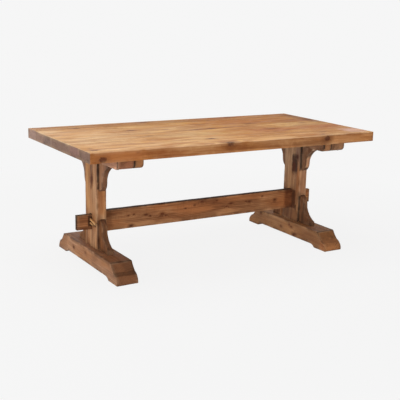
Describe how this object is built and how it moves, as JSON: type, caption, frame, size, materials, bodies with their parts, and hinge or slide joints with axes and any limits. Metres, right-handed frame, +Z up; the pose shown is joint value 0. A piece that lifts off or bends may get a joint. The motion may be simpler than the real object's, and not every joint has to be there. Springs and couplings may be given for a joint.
{
  "type": "trestle dining table",
  "caption": "Knock-down trestle dining table in old wood: plank top on bearers, shaped posts and sled feet, with a wedged through stretcher.",
  "frame": {"origin": "on the floor, under the middle of the top", "axes": "+X along the length of the top, +Y across it towards the back, +Z up"},
  "size_m": [1.945, 0.955, 0.77],
  "materials": {
    "top_wood": "honey-coloured old planks, worn and matte",
    "bearer_wood": "old pine, browned, matte",
    "post_wood": "old pine, tan, matte",
    "bracket_wood": "old pine, browned, matte",
    "foot_wood": "old pine, knocked and worn, matte",
    "stretcher_wood": "reddish brown, matte",
    "wedge_wood": "pale new wood, bare",
    "hidden_wood": "bare wood inside the joints",
    "steel_screws": "plain steel, dull"
  },
  "bodies": {
    "table": {"batten_left": "bearer_wood", "batten_right": "bearer_wood", "batten_tongue_left": "hidden_wood", "batten_tongue_right": "hidden_wood", "bearer_left": "bearer_wood", "bearer_right": "bearer_wood", "foot_left": "foot_wood", "foot_right": "foot_wood", "fox_wedges_left": "hidden_wood", "fox_wedges_right": "hidden_wood", "loose_tenons_left": "hidden_wood", "loose_tenons_right": "hidden_wood", "lower_back_bracket_left": "bracket_wood", "lower_back_bracket_right": "bracket_wood", "lower_front_bracket_left": "bracket_wood", "lower_front_bracket_right": "bracket_wood", "plank_1": "top_wood", "plank_2": "top_wood", "plank_3": "top_wood", "plank_4": "top_wood", "plank_5": "top_wood", "plank_6": "top_wood", "plank_7": "top_wood", "plank_tongues": "hidden_wood", "post_left": "post_wood", "post_right": "post_wood", "screws_left": "steel_screws", "screws_right": "steel_screws", "stretcher": "stretcher_wood", "upper_back_bracket_left": "bracket_wood", "upper_back_bracket_right": "bracket_wood", "upper_front_bracket_left": "bracket_wood", "upper_front_bracket_right": "bracket_wood"},
    "lower_wedge_left": {"lower_wedge_left": "wedge_wood"},
    "lower_wedge_right": {"lower_wedge_right": "wedge_wood"},
    "upper_wedge_left": {"upper_wedge_left": "wedge_wood"},
    "upper_wedge_right": {"upper_wedge_right": "wedge_wood"}
  },
  "joints": [
    {"name": "lower_wedge_left_slide", "type": "slide", "parent": "table", "child": "lower_wedge_left", "axis": [0, 0.9848, 0.1736], "range_m": [0, 0.056]},
    {"name": "lower_wedge_right_slide", "type": "slide", "parent": "table", "child": "lower_wedge_right", "axis": [0, 0.9848, 0.1736], "range_m": [0, 0.056]},
    {"name": "upper_wedge_left_slide", "type": "slide", "parent": "table", "child": "upper_wedge_left", "axis": [0, -0.9848, -0.1736], "range_m": [0, 0.056]},
    {"name": "upper_wedge_right_slide", "type": "slide", "parent": "table", "child": "upper_wedge_right", "axis": [0, -0.9848, -0.1736], "range_m": [0, 0.056]}
  ]
}
